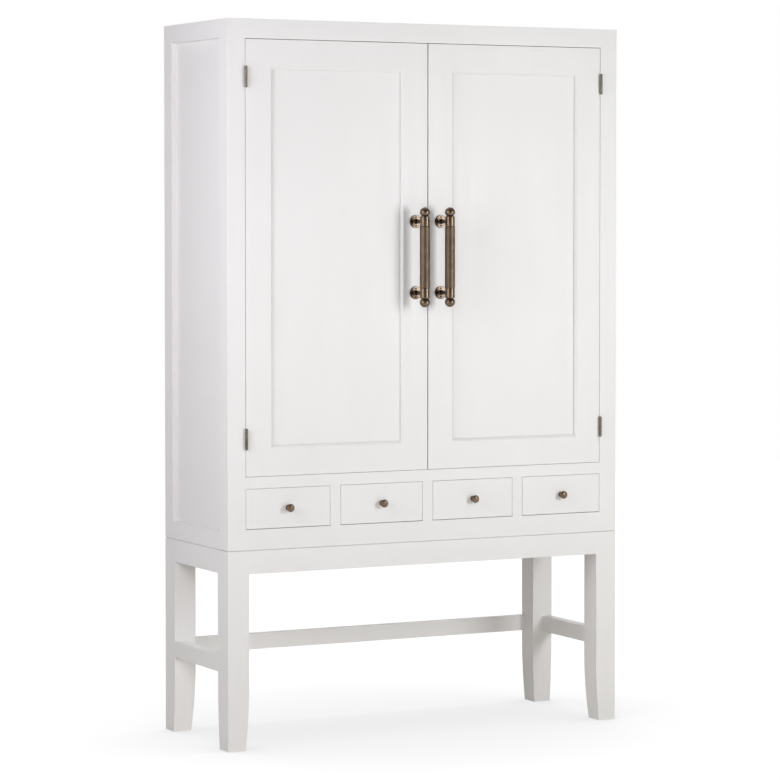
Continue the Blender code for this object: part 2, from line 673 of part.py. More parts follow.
def make_door(side_name, side, paint, hinge, recesses):
    """A frame whose window is moulded with a slope and grooved, and the flat panel that floats in it."""
    xs = (side * DOOR_EDGE, side * DOOR_MEETING)
    ys = (FRONT, FRONT + DOOR_THICKNESS)
    frame = block(f"door_frame_{side_name}", *box_between(xs, ys, (DOOR_BOTTOM, DOOR_TOP)), paint, hinge)
    middle_x, middle_z = side * (DOOR_EDGE + DOOR_MEETING) / 2, (DOOR_BOTTOM + DOOR_TOP) / 2
    half_x = (DOOR_EDGE - DOOR_MEETING) / 2 - DOOR_FRAME_WIDTH - MOULDING_WIDTH
    half_z = (DOOR_TOP - DOOR_BOTTOM) / 2 - DOOR_FRAME_WIDTH - MOULDING_WIDTH

    def loft(levels):
        return ring_loft([(half_x + margin, half_z + margin, depth) for margin, depth in levels])

    centre = (middle_x, FRONT, middle_z)
    window = [(0, DOOR_THICKNESS + CUT), (0, MOULDING_DEPTH), (MOULDING_WIDTH, 0), (MOULDING_WIDTH, -CUT)]
    combine(frame, helper(f"door_window_{side_name}", loft(window), centre), "DIFFERENCE")
    in_frame = DOOR_PANEL_TONGUE + FIT
    groove_front = MOULDING_DEPTH + MOULDING_LIP
    panel_front = groove_front + FIT
    panel_back = panel_front + DOOR_PANEL_THICKNESS
    groove = [(in_frame, panel_back + FIT), (in_frame, groove_front)]
    combine(frame, helper(f"door_groove_{side_name}", loft(groove), centre), "DIFFERENCE")
    carve(frame, recesses, "hinge_recesses")
    board = [(DOOR_PANEL_TONGUE, panel_back), (DOOR_PANEL_TONGUE, panel_front)]
    piece(f"door_panel_{side_name}", loft(board), paint, centre, hinge)


def knuckles():
    """Low and high level of each hinge knuckle, counted from the hinge's lower end."""
    length = (HINGE_LENGTH - (KNUCKLE_COUNT - 1) * KNUCKLE_GAP) / KNUCKLE_COUNT
    return [(k * (length + KNUCKLE_GAP), k * (length + KNUCKLE_GAP) + length) for k in range(KNUCKLE_COUNT)]


def leaf(own, tab_start, xs):
    """A flat hinge leaf whose tabs reach forward to its own knuckles."""
    plate_start = KNUCKLE_RADIUS + LEAF_CLEARANCE
    back = HINGE_PROUD + LEAF_DEPTH
    last = KNUCKLE_COUNT - 1
    outline = [(back, 0), (back, HINGE_LENGTH)]
    if last not in own:
        outline.append((plate_start, HINGE_LENGTH))
    for k in reversed(own):
        low, high = knuckles()[k]
        if k < last:
            outline.append((plate_start, high))
        outline += [(tab_start, high), (tab_start, low)]
        if k > 0:
            outline.append((plate_start, low))
    if 0 not in own:
        outline.append((plate_start, 0))
    return extruded(outline, 0, *span(*xs))


def pin_profile(own):
    """Radius and level of the pin, from tip to tip, and of the knuckles that are fast on it."""
    profile = []
    for k in own:
        low, high = knuckles()[k]
        profile += [(PIN_RADIUS, low), (KNUCKLE_RADIUS, low), (KNUCKLE_RADIUS, high), (PIN_RADIUS, high)]
    tip = [(PIN_RADIUS, HINGE_TIP), (0, HINGE_TIP)]
    head = [(0, -HINGE_TIP), (PIN_RADIUS, -HINGE_TIP)]
    return head + profile[1:-1] + [(radius, HINGE_LENGTH + rise) for radius, rise in tip]


def make_hinge(side_name, side, level_name, low, brass, hinge):
    """A butt hinge: the case leaf carries the pin, the door leaf turns on it."""
    axis = Vector((side * HINGE_X, HINGE_Y, low))
    even = range(0, KNUCKLE_COUNT, 2)
    odd = range(1, KNUCKLE_COUNT, 2)
    near, far = LEAF_GAP / 2, LEAF_GAP / 2 + LEAF_THICKNESS

    case_name = f"hinge_case_leaf_{side_name}_{level_name}"
    case_leaf = piece(case_name, leaf(even, 0, (side * near, side * far)), brass, axis)
    combine(case_leaf, helper(f"{case_name}_pin", turned(pin_profile(even), HINGE_STEPS, 2), axis), "UNION")
    smooth(case_leaf)

    bore = PIN_RADIUS + PIN_CLEARANCE
    tab_start = (bore + KNUCKLE_RADIUS) / 2
    door_name = f"hinge_door_leaf_{side_name}_{level_name}"
    door_leaf = piece(door_name, leaf(odd, tab_start, (-side * near, -side * far)), brass, axis, hinge)
    for k in odd:
        start, stop = knuckles()[k]
        ring = [(KNUCKLE_RADIUS, start), (KNUCKLE_RADIUS, stop), (bore, stop), (bore, start)]
        combine(door_leaf, helper(f"{door_name}_knuckle_{k}", turned(ring, HINGE_STEPS, 2), axis), "UNION")
    smooth(door_leaf)


def hinge_recesses(side, low):
    """The shallow beds of the two leaves: in the post, and in the door's edge."""
    far = LEAF_GAP / 2 + LEAF_THICKNESS + FIT
    ys = (FRONT - CUT, HINGE_Y + HINGE_PROUD + LEAF_DEPTH + FIT)
    zs = (low - FIT, low + HINGE_LENGTH + FIT)
    in_post = box_between((side * (POST_FACE - CUT), side * (HINGE_X + far)), ys, zs)
    in_door = box_between((side * (DOOR_EDGE + CUT), side * (HINGE_X - far)), ys, zs)
    return in_post, in_door


def make_doors(paint, brass, bronze, posts):
    hinge_levels = {
        "upper": DOOR_TOP - DOOR_FRAME_WIDTH - HINGE_LENGTH,
        "lower": DOOR_BOTTOM + DOOR_FRAME_WIDTH,
    }
    for side_name, side in SIDES.items():
        hinge = group(f"door_{side_name}_hinge", (side * HINGE_X, HINGE_Y, DOOR_BOTTOM))
        beds = [hinge_recesses(side, low) for low in hinge_levels.values()]
        carve(posts[side, -1], [in_post for in_post, _ in beds], "hinge_recesses")
        make_door(side_name, side, paint, hinge, [in_door for _, in_door in beds])
        make_handle(side_name, side, bronze, hinge)
        for level_name, low in hinge_levels.items():
            make_hinge(side_name, side, level_name, low, brass, hinge)


def main():
    clear_scene()
    paint = material("white_paint", (0.83, 0.82, 0.79), 0.42)
    bare_wood = material("bare_wood", (0.62, 0.46, 0.30), 0.6)
    bronze = material("antique_bronze", (0.20, 0.13, 0.075), 0.38, 1.0)
    brass = material("aged_brass", (0.34, 0.24, 0.12), 0.4, 1.0)
    make_stand(paint)
    posts = make_posts(paint)
    make_rails(paint, posts)
    make_case_boards(paint, posts)
    make_partitions(paint)
    make_doors(paint, brass, bronze, posts)
    make_drawers(paint, bare_wood, bronze)


main()
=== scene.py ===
"""Looks of the two-door cupboard: painted and bare wood, bronze pulls, brass hinges, and its studio."""

import json
import math

import bmesh
import bpy
from mathutils import Matrix, Vector
from mathutils.bvhtree import BVHTree

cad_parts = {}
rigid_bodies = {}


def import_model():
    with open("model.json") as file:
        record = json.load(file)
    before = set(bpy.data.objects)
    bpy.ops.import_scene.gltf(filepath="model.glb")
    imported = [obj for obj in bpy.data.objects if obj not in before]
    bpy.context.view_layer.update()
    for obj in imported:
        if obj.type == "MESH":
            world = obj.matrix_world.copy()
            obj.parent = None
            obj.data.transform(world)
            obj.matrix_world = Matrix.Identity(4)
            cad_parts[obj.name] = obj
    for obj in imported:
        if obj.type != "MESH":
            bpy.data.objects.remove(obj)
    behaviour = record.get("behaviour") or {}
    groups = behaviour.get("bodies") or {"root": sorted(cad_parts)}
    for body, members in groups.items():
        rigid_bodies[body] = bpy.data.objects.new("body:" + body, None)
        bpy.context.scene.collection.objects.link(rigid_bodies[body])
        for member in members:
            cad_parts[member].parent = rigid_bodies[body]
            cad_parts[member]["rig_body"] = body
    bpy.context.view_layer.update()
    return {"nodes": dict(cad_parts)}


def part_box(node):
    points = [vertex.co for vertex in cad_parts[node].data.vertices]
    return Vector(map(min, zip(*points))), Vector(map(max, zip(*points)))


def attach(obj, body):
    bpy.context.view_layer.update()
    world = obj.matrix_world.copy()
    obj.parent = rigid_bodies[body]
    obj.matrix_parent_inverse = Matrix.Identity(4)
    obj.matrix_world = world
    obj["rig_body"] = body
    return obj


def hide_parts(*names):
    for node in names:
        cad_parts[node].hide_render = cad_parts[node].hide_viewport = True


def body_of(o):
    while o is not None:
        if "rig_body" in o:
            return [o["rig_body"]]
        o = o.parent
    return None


for leftover in list(bpy.data.objects):
    bpy.data.objects.remove(leftover, do_unlink=True)

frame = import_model()
NODES = frame["nodes"]
SIDES = ("left", "right")
DRAWERS = 4
FORWARD = (0, -1, 0)

# Sizes are in metres.
MM = 0.001

# Softened edges of the wooden pieces, of the seam between case and stand, and of the sheet-metal hinges.
# Edges of a solid steeper than EDGE_ANGLE count as sharp. Once rounded, those past CORNER_ANGLE stay sharp.
WOOD_EDGE = 0.6 * MM
SEAM_EDGE = 2.5 * MM
METAL_EDGE = 0.2 * MM
EDGE_STEPS = 2
EDGE_ANGLE = math.radians(32)
CORNER_ANGLE = math.radians(50)
FLAT_ANGLE = math.radians(1)
WELD_DISTANCE = 0.01 * MM

# Glued joints are painted over: their edges stay sharp and the paint bridges the hairline between them.
JOINT_REACH = 0.6 * MM
JOINT_SAMPLES = 48
JOINT_CLEAR = 3 * JOINT_REACH
PAINT_SINK = 0.04 * MM
PAINT_DEPTH = 0.6 * MM
FRAME_MEMBERS = ("apron_", "stretcher_", "face_rail_", "side_rail_", "back_rail_", "partition_")

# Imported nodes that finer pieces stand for.
REPLACED = ("handle_", "drawer_knob_", "door_panel_")

# Turned shapes. A fillet takes at most FILLET_SHARE of the lines beside its corner.
LATHE_STEPS = 64
FILLET_STEPS = 4
FILLET_SHARE = 0.45
ON_AXIS = 1e-7

# Bar handles: a knurled grip between two collars, each collar closed by a necked ball.
BALL_RADIUS = 14.0 * MM
BALL_HEIGHT = 26.5 * MM
BALL_STEPS = 20
NECK_RADIUS = 9.5 * MM
NECK_HEIGHT = 1.5 * MM
NECK_FLARE = 1.12
NECK_WAIST = 0.96
COLLAR_RADIUS = 13.1 * MM
COLLAR_HEIGHT = 28 * MM
COLLAR_EDGE = 0.6 * MM
COLLAR_CHAMFER = 0.9 * MM
COLLAR_RECESS = 1.4 * MM
COLLAR_RECESS_HEIGHT = 0.7 * MM
GRIP_RADIUS = 13.8 * MM
GRIP_EDGE = 0.7 * MM
KNURL_AROUND = 58
KNURL_DEPTH = 0.05 * MM

# The handles' arms and the rosettes that they stand on.
ARM_SPACING = 194.5 * MM
ARM_RADIUS = 5.4 * MM
ARM_FLARE = 1.6 * MM
ARM_EDGE = 0.8 * MM
ROSETTE_RADIUS = 17.7 * MM
ROSETTE_RIM = 3.2 * MM
ROSETTE_FACE = 3.6 * MM
ROSETTE_EDGE = 0.5 * MM
ROSETTE_BACK_CHAMFER = 0.4 * MM
ROSETTE_FRONT_CHAMFER = 0.7 * MM

# Slotted screws in the rosettes. The slot's width is a share of the head's radius and its depth a share of
# the dome. The dome's levels are shares of its radius and height, and the turns say how each slot lies.
SCREW_RADIUS = 2.4 * MM
SCREW_DOME = 1.0 * MM
SCREW_OFFSET = 11.5 * MM
SCREW_LEVELS = ((1.0, 0.0), (0.97, 0.45), (0.80, 0.80), (0.45, 1.0))
SCREW_STEPS = 24
SLOT_WIDTH = 0.24
SLOT_DEPTH = 0.55
UPPER_SLOT_TURN = math.radians(35)
LOWER_SLOT_TURN = math.radians(80)

# Knobs of the drawers: a foot, a flared neck, and a head with a ring turned into its face. The crown is an
# arc of an ellipse between two angles from its waist, with half its height a share of the head's.
KNOB_FOOT = 8.2 * MM
KNOB_FOOT_HEIGHT = 2.4 * MM
KNOB_NECK = 4.6 * MM
KNOB_NECK_EDGE = 0.5 * MM
KNOB_FLARE = 1.2 * MM
KNOB_FLARE_START = 0.8 * MM
KNOB_FLARE_END = 3.0 * MM
KNOB_UNDERCUT = 0.4 * MM
KNOB_HEAD_HEIGHT = 11 * MM
KNOB_CROWN_SHARE = 0.52
KNOB_CROWN_START = -0.9
KNOB_CROWN_END = 0.95
KNOB_CROWN_STEPS = 14
KNOB_RING = 7.2 * MM
KNOB_RING_DEPTH = 0.6 * MM
KNOB_RING_OUTSIDE = 0.5 * MM
KNOB_RING_INSIDE = 0.8 * MM
KNOB_FACE_EDGE = 0.3 * MM
KNOB_BUTTON_SHARE = 0.5
KNOB_BUTTON_DROP = 0.3 * MM

# Door panels: a fine groove in the face, along the edge of the moulding that holds the panel. It sits a
# little to the left and high, as on a panel that floats in its frame, and so shows most at the right.
DOOR_PANEL_TONGUE = 9 * MM
QUIRK_REACH = 1.5 * MM
QUIRK_WIDTH = 0.75 * MM
QUIRK_DEPTH = 1.6 * MM
QUIRK_EDGE = 0.3 * MM
QUIRK_LEFT = 0.65 * MM
QUIRK_UP = 0.3 * MM

# Colours are red, green, blue and alpha. Patterns are repeats per metre, either one number for all ways or
# a pair across and along the grain. A span is the part of a pattern that is drawn out onto a mix or tone.
WHITE = (1, 1, 1, 1)
NOISE_SPAN = (0.3, 0.7)
NOISE_ROUGHNESS = 0.55
FINE_DETAIL = 4.0
PLAIN_DETAIL = 3.0
COARSE_DETAIL = 2.0
FULL_MIX = (0, 1)

# White satin paint: clouded tones, brush laps and the marks of the bristles.
PAINT_DULL = (0.822, 0.809, 0.806, 1)
PAINT_BRIGHT = (0.846, 0.834, 0.832, 1)
PAINT_LAP = (0.800, 0.784, 0.770, 1)
PAINT_CLOUDS = 3.0
LAP_PATTERN = (46, 2.2)
LAP_SPAN = (0.45, 0.75)
LAP_MIX = (0, 0.12)
PAINT_ROUGHNESS = (0.42, 0.48)
BRISTLE_PATTERN = (620, 9)
BRISTLE_BUMP = 0.22
BRISTLE_HEIGHT = 0.10 * MM

# Bare sanded hardwood: pale tones that sway along the grain, rings and pores.
WOOD_DULL = (0.60, 0.43, 0.27, 1)
WOOD_PALE = (0.68, 0.51, 0.34, 1)
WOOD_RING = (0.50, 0.34, 0.20, 1)
WOOD_PORE = (0.38, 0.24, 0.13, 1)
SWAY_PATTERN = (14, 2.5)
RING_PATTERN = (60, 3)
RING_DISTORTION = 6.0
RING_SPAN = (0.3, 1.0)
RING_MIX = (0, 0.55)
PORE_PATTERN = (900, 22)
PORE_SPAN = (0.52, 0.72)
PORE_MIX = (0, 0.45)
PORE_BUMP = 0.30
PORE_HEIGHT = 0.12 * MM
WOOD_ROUGHNESS = (0.48, 0.66)

# Patinated metal: clouds, rubbed speckles, fine scratches, and a coat of lacquer on what is handled.
METAL_CLOUDS = 55.0
METAL_CLOUD_SPAN = (0.35, 0.62)
METAL_SPECKLES = 900.0
SPECKLE_SPAN = (0.55, 0.80)
SPECKLE_MIX = (0, 0.5)
SPECKLE_BUMP = 0.08
SPECKLE_HEIGHT = 0.05 * MM
SCRATCH_PATTERN = (1500, 60)
LACQUER_ROUGHNESS = 0.12

# Camera, set from the photograph: place, turn, tilt, lens and vertical shift of the film.
CAMERA_PLACE = (-3.9358, -7.6605, 1.443)
CAMERA_YAW = math.radians(-27.0417)
CAMERA_TILT = math.radians(-2.1749)
CAMERA_LENS = 142.676
CAMERA_SHIFT = -0.08
SENSOR = 36

# Studio floor and surround, both white to the eye. The floor's shadow is drawn from how far the object
# closes it off. In reflections the surround is darker towards the front, where the studio's room is.
FLOOR_SIDE = 14
FLOOR_DROP = 0.4 * MM
FLOOR_BOUNCE = (0.78, 0.75, 0.68, 1)
SHADOW_REACH = 1.1
SHADOW_SAMPLES = 32
SHADOW_SPAN = (0.50, 0.98)
SHADOW_TONES = (0.83, 1.05)
SURROUND_TINT = (1.0, 0.995, 0.985, 1)
SURROUND_STRENGTH = 0.20
ROOM_SPAN = (-0.35, 0.45)
ROOM_TONES = (0.12, 1.0)

# Large soft lights. Turns are degrees from the front, to the right. Those that aren't glossy leave no
# highlight of their own.
LIGHT_AIM = 1.3
NEUTRAL = (0.987, 0.997, 1.0)
COOL = (0.955, 0.943, 1.0)
STUDIO_LIGHTS = {
    "key_light": {
        "watts": 37, "tint": NEUTRAL, "size": (0.8, 1.3), "glossy": True,
        "turn": 29, "distance": 2.95, "height": 1.43,
    },
    "front_light": {
        "watts": 14.6, "tint": NEUTRAL, "size": (1.0, 1.3), "glossy": False,
        "turn": -27, "distance": 3.2, "height": 1.45,
    },
    "fill_light": {
        "watts": 20.2, "tint": COOL, "size": (0.9, 1.4), "glossy": True,
        "turn": -68.5, "distance": 2.1, "height": 1.6,
    },
    "low_light": {
        "watts": 1.3, "tint": NEUTRAL, "size": (1.6, 0.3), "glossy": True,
        "turn": 0, "distance": 1.7, "height": 0.2,
    },
    "back_light": {
        "watts": 30, "tint": NEUTRAL, "size": (1.2, 1.2), "glossy": False,
        "turn": 150, "distance": 2.8, "height": 2.3,
    },
    "top_light": {
        "watts": 2.2, "tint": NEUTRAL, "size": (1.0, 0.36), "glossy": True,
        "turn": 0, "distance": 0, "height": 2.55,
    },
}


def add_node(tree, kind, inputs=None, **settings):
    """A new node with its settings, and its inputs set to values or joined to sockets."""
    made = tree.nodes.new(kind)
    for name, value in settings.items():
        setattr(made, name, value)
    for key, value in (inputs or {}).items():
        if isinstance(value, bpy.types.NodeSocket):
            tree.links.new(value, made.inputs[key])
        else:
            made.inputs[key].default_value = value
    return made


def noise(tree, vector, scale=1.0, detail=PLAIN_DETAIL):
    """A noise value in the range 0 to 1."""
    values = {"Vector": vector, "Scale": scale, "Detail": detail, "Roughness": NOISE_ROUGHNESS}
    return add_node(tree, "ShaderNodeTexNoise", values).outputs["Fac"]


def along_grain(tree, vector, axis, pattern):
    """Coordinates that draw a pattern out along one axis."""
    across, along = pattern
    scale = tuple(along if name == axis else across for name in "XYZ")
    return add_node(tree, "ShaderNodeMapping", {"Vector": vector, "Scale": scale}).outputs["Vector"]


def between(tree, value, onto, span=NOISE_SPAN):
    """Maps a value from its span onto a range, held inside it."""
    start, end = span
    low, high = onto
    values = {"Value": value, "From Min": start, "From Max": end, "To Min": low, "To Max": high}
    return add_node(tree, "ShaderNodeMapRange", values, clamp=True).outputs["Result"]


def mixed(tree, factor, first, second):
    """A colour between two colours. The mix node's colours go by their places, as names repeat there."""
    made = add_node(tree, "ShaderNodeMix", {0: factor, 6: first, 7: second}, data_type="RGBA")
    return made.outputs[2]


def bumped(tree, height, strength, distance):
    """A normal that follows a pattern's height."""
    values = {"Height": height, "Strength": strength, "Distance": distance}
    return add_node(tree, "ShaderNodeBump", values).outputs["Normal"]


def new_surface(name):
    """A material with an empty principled shader, and the coordinates that stay with each piece."""
    made = bpy.data.materials.new(name)
    made.use_nodes = True
    tree = made.node_tree
    shader = tree.nodes["Principled BSDF"]
    place = add_node(tree, "ShaderNodeTexCoord").outputs["Object"]
    return made, tree, shader, place


def paint_surface(axis):
    """Warm white satin paint, brushed along one axis."""
    made, tree, shader, place = new_surface(f"white_paint_{axis.lower()}")
    cloud = noise(tree, place, PAINT_CLOUDS)
    bristles = noise(tree, along_grain(tree, place, axis, BRISTLE_PATTERN), detail=FINE_DETAIL)
    laps = noise(tree, along_grain(tree, place, axis, LAP_PATTERN), detail=COARSE_DETAIL)
    tone = mixed(tree, between(tree, cloud, FULL_MIX), PAINT_DULL, PAINT_BRIGHT)
    streaked = mixed(tree, between(tree, laps, LAP_MIX, LAP_SPAN), tone, PAINT_LAP)
    tree.links.new(streaked, shader.inputs["Base Color"])
    tree.links.new(between(tree, laps, PAINT_ROUGHNESS), shader.inputs["Roughness"])
    tree.links.new(bumped(tree, bristles, BRISTLE_BUMP, BRISTLE_HEIGHT), shader.inputs["Normal"])
    return made


def wood_surface(axis):
    """Bare sanded hardwood with its grain along one axis."""
    made, tree, shader, place = new_surface(f"bare_wood_{axis.lower()}")
    sway = noise(tree, along_grain(tree, place, axis, SWAY_PATTERN), detail=COARSE_DETAIL)
    values = {
        "Vector": along_grain(tree, place, axis, RING_PATTERN),
        "Scale": 1.0,
        "Distortion": RING_DISTORTION,
        "Detail": COARSE_DETAIL,
    }
    rings = add_node(tree, "ShaderNodeTexWave", values, bands_direction="DIAGONAL").outputs["Fac"]
    pores = noise(tree, along_grain(tree, place, axis, PORE_PATTERN))
    pale = mixed(tree, between(tree, sway, FULL_MIX), WOOD_DULL, WOOD_PALE)
    ringed = mixed(tree, between(tree, rings, RING_MIX, RING_SPAN), pale, WOOD_RING)
    grained = mixed(tree, between(tree, pores, PORE_MIX, PORE_SPAN), ringed, WOOD_PORE)
    tree.links.new(grained, shader.inputs["Base Color"])
    tree.links.new(between(tree, pores, WOOD_ROUGHNESS), shader.inputs["Roughness"])
    tree.links.new(bumped(tree, pores, PORE_BUMP, PORE_HEIGHT), shader.inputs["Normal"])
    return made


def metal_surface(name, deep, middle, rubbed, roughness, lacquer=0.0):
    """Patinated metal: deep and middle tones in clouds, rubbed lighter in speckles, and scratched."""
    made, tree, shader, place = new_surface(name)
    cloud = noise(tree, place, METAL_CLOUDS, FINE_DETAIL)
    speckle = noise(tree, place, METAL_SPECKLES, COARSE_DETAIL)
    scratch = noise(tree, along_grain(tree, place, "Z", SCRATCH_PATTERN), detail=COARSE_DETAIL)
    base = mixed(tree, between(tree, cloud, FULL_MIX, METAL_CLOUD_SPAN), deep, middle)
    worn = mixed(tree, between(tree, speckle, SPECKLE_MIX, SPECKLE_SPAN), base, rubbed)
    tree.links.new(worn, shader.inputs["Base Color"])
    tree.links.new(between(tree, scratch, roughness), shader.inputs["Roughness"])
    tree.links.new(bumped(tree, speckle, SPECKLE_BUMP, SPECKLE_HEIGHT), shader.inputs["Normal"])
    shader.inputs["Metallic"].default_value = 1.0
    shader.inputs["Coat Weight"].default_value = lacquer
    shader.inputs["Coat Roughness"].default_value = LACQUER_ROUGHNESS
    return made


PAINT = {axis: paint_surface(axis) for axis in "XYZ"}
WOOD = {axis: wood_surface(axis) for axis in "XYZ"}
BRONZE = metal_surface(
    "antique_bronze",
    deep=(0.135, 0.092, 0.06, 1),
    middle=(0.18, 0.128, 0.086, 1),
    rubbed=(0.26, 0.196, 0.14, 1),
    roughness=(0.31, 0.40),
    lacquer=0.2,
)
DARK_BRONZE = metal_surface(
    "dark_bronze",
    deep=(0.067, 0.047, 0.031, 1),
    middle=(0.088, 0.064, 0.045, 1),
    rubbed=(0.135, 0.104, 0.078, 1),
    roughness=(0.22, 0.30),
    lacquer=0.2,
)
KNURLED = metal_surface(
    "knurled_bronze",
    deep=(0.122, 0.086, 0.057, 1),
    middle=(0.158, 0.115, 0.079, 1),
    rubbed=(0.22, 0.166, 0.118, 1),
    roughness=(0.44, 0.56),
    lacquer=0.1,
)
# Screw heads: dark metal all over, painted shade that stands in for the dark of their slots.
SCREW_SHADE_METAL = metal_surface(
    "screw_slot_shade",
    deep=(0.03, 0.022, 0.015, 1),
    middle=(0.05, 0.036, 0.025, 1),
    rubbed=(0.08, 0.06, 0.04, 1),
    roughness=(0.55, 0.75),
)
BRASS = metal_surface(
    "aged_brass",
    deep=(0.15, 0.128, 0.105, 1),
    middle=(0.21, 0.18, 0.15, 1),
    rubbed=(0.31, 0.27, 0.225, 1),
    roughness=(0.30, 0.42),
)


def longest_axis(name):
    """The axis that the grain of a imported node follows."""
    low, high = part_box(name)
    size = high - low
    return "XYZ"[max(range(3), key=lambda index: size[index])]


def body_meshes():
    """For each body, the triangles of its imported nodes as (name, points, faces) in the row frame."""
    bodies = {}
    for name, node in NODES.items():
        points = [node.matrix_world @ vertex.co for vertex in node.data.vertices]
        faces = [tuple(face.vertices) for face in node.data.polygons]
        bodies.setdefault(body_of(node)[0], []).append((name, points, faces))
    return bodies


def neighbours(name, solids):
    """A search tree of every solid of one body except the named one."""
    points, faces = [], []
    for other, own_points, own_faces in solids:
        if other != name:
            faces += [tuple(index + len(points) for index in face) for face in own_faces]
            points += own_points
    return BVHTree.FromPolygons(points, faces) if faces else None


def edge_key(first, second):
    """A name for an edge by its two ends, the same for both directions."""
    return frozenset(tuple(round(value / WELD_DISTANCE) for value in point) for point in (first, second))


def solid_edges(points, faces):
    """Each edge of a solid by its two ends, with the normals of the faces that meet in it."""
    edges = {}
    for face in faces:
        corners = [points[index] for index in face]
        normal = (corners[1] - corners[0]).cross(corners[2] - corners[0]).normalized()
        for first, second in zip(corners, corners[1:] + corners[:1]):
            edges.setdefault(edge_key(first, second), []).append((first, second, normal))
    return edges


def touching(tree, first, second):
    """How many places along an edge lie within reach of a neighbour."""
    shares = [(step + 0.5) / JOINT_SAMPLES for step in range(JOINT_SAMPLES)]
    return sum(tree.find_nearest(first.lerp(second, share), JOINT_REACH)[0] is not None for share in shares)


def is_seam(first, second):
    """True for the edges where the case stands on its stand."""
    levels = (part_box("apron_front")[1].z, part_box("face_rail_bottom")[0].z)
    return all(min(abs(point.z - level) for level in levels) < WELD_DISTANCE for point in (first, second))


def sort_edges(name, solids):
    """Widths of a solid's sharp edges, its joint edges with both face normals, and its neighbours."""
    points, faces = next((points, faces) for other, points, faces in solids if other == name)
    tree = neighbours(name, solids)
    widths, bridged = {}, []
    for key, uses in solid_edges(points, faces).items():
        first, second, normal = uses[0]
        if len(uses) != 2 or normal.angle(uses[1][2]) < EDGE_ANGLE:
            continue
        touched = touching(tree, first, second) if tree else 0
        if is_seam(first, second):
            widths[key] = SEAM_EDGE
        elif touched:
            widths[key] = 0.0
            if touched == JOINT_SAMPLES:
                bridged.append((first, second, normal, uses[1][2]))
        else:
            widths[key] = WOOD_EDGE
    return widths, bridged, tree


def corner_keeper():
    """Nodes for a modifier that keeps every steep edge sharp, also where a rounded edge runs out."""
    group = bpy.data.node_groups.new("sharp_corners", "GeometryNodeTree")
    for way in ("INPUT", "OUTPUT"):
        group.interface.new_socket("Geometry", in_out=way, socket_type="NodeSocketGeometry")
    whole = add_node(group, "NodeGroupInput").outputs["Geometry"]
    angle = add_node(group, "GeometryNodeInputMeshEdgeAngle").outputs["Unsigned Angle"]
    steep = add_node(group, "FunctionNodeCompare", {0: angle, 1: CORNER_ANGLE}, operation="GREATER_THAN")
    inputs = {0: whole, 1: steep.outputs[0], 2: False}
    kept = add_node(group, "GeometryNodeSetShadeSmooth", inputs, domain="EDGE")
    add_node(group, "NodeGroupOutput", {"Geometry": kept.outputs[0]})
    return group


SHARP_CORNERS = corner_keeper()


def soften(node, widths):
    """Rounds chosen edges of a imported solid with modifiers, which leave its own points alone."""
    mesh = node.data
    points = [node.matrix_world @ vertex.co for vertex in mesh.vertices]
    weights, sharp = [], []
    for edge in mesh.edges:
        width = widths.get(edge_key(*(points[index] for index in edge.vertices)))
        # Weights are shares of the widest edge, which is the seam's.
        weights.append((width or 0.0) / SEAM_EDGE)
        sharp.append(width == 0.0)
    mesh.attributes.new("bevel_weight_edge", "FLOAT", "EDGE").data.foreach_set("value", weights)
    mesh.edges.foreach_set("use_edge_sharp", sharp)
    mesh.polygons.foreach_set("use_smooth", [True] * len(mesh.polygons))
    weld = node.modifiers.new("weld", "WELD")
    weld.merge_threshold = WELD_DISTANCE
    merge = node.modifiers.new("merge_flats", "DECIMATE")
    merge.decimate_type = "DISSOLVE"
    merge.angle_limit = FLAT_ANGLE
    round_off = node.modifiers.new("round_edges", "BEVEL")
    round_off.width = SEAM_EDGE
    round_off.segments = EDGE_STEPS
    round_off.limit_method = "WEIGHT"
    node.modifiers.new("sharp_corners", "NODES").node_group = SHARP_CORNERS
    settle = node.modifiers.new("flat_faces", "WEIGHTED_NORMAL")
    settle.keep_sharp = True


def band(shape, first, second):
    """Faces between two rings of points, either of which may be a single point."""
    steps = max(len(first), len(second))
    for step in range(steps):
        after = (step + 1) % steps
        corners = [first[step % len(first)], first[after % len(first)]]
        corners += [second[after % len(second)], second[step % len(second)]]
        kept = list(dict.fromkeys(corners))
        if len(kept) > 2:
            shape.faces.new(kept)


def turn_outward(shape):
    """Points the faces of a closed shape outward."""
    bmesh.ops.recalc_face_normals(shape, faces=shape.faces)


def paint_slip(first, second, shoulder, face, gap):
    """A closed slip of paint along an edge, across the gap beside its shoulder and just below its face."""
    slip = bmesh.new()
    section = ((0, PAINT_SINK), (gap, PAINT_SINK), (gap, PAINT_DEPTH), (0, PAINT_DEPTH))
    ends = [
        [slip.verts.new(end + shoulder * across - face * depth) for across, depth in section]
        for end in (first, second)
    ]
    for end in ends:
        slip.faces.new(end)
    band(slip, *ends)
    turn_outward(slip)
    return slip


def paint_bridges(bridged, tree):
    """Slips of paint in the hairlines between one frame member and its neighbours."""
    slips = []
    for first, second, *normals in bridged:
        middle = (first + second) / 2
        for shoulder, face in (normals, normals[::-1]):
            near = tree.find_nearest(middle, JOINT_REACH)[0]
            gap = (near - middle).dot(shoulder)
            outside = middle - shoulder * JOINT_CLEAR + face * JOINT_REACH
            if gap >= WELD_DISTANCE and tree.find_nearest(outside, JOINT_REACH)[0] is None:
                slips.append(paint_slip(first, second, shoulder, face, gap))
    return slips


def finish_node(name):
    """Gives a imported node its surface."""
    node = NODES[name]
    axis = longest_axis(name)
    if name.startswith("drawer_box"):
        surface = WOOD[axis]
    elif name.startswith("hinge"):
        surface = BRASS
    else:
        surface = PAINT[axis]
    node.data.materials.clear()
    node.data.materials.append(surface)


def new_object(name, shape, surfaces):
    """Turns a bmesh into an object of the scene."""
    mesh = bpy.data.meshes.new(name)
    shape.to_mesh(mesh)
    shape.free()
    for surface in surfaces:
        mesh.materials.append(surface)
    made = bpy.data.objects.new(name, mesh)
    bpy.context.scene.collection.objects.link(made)
    return made


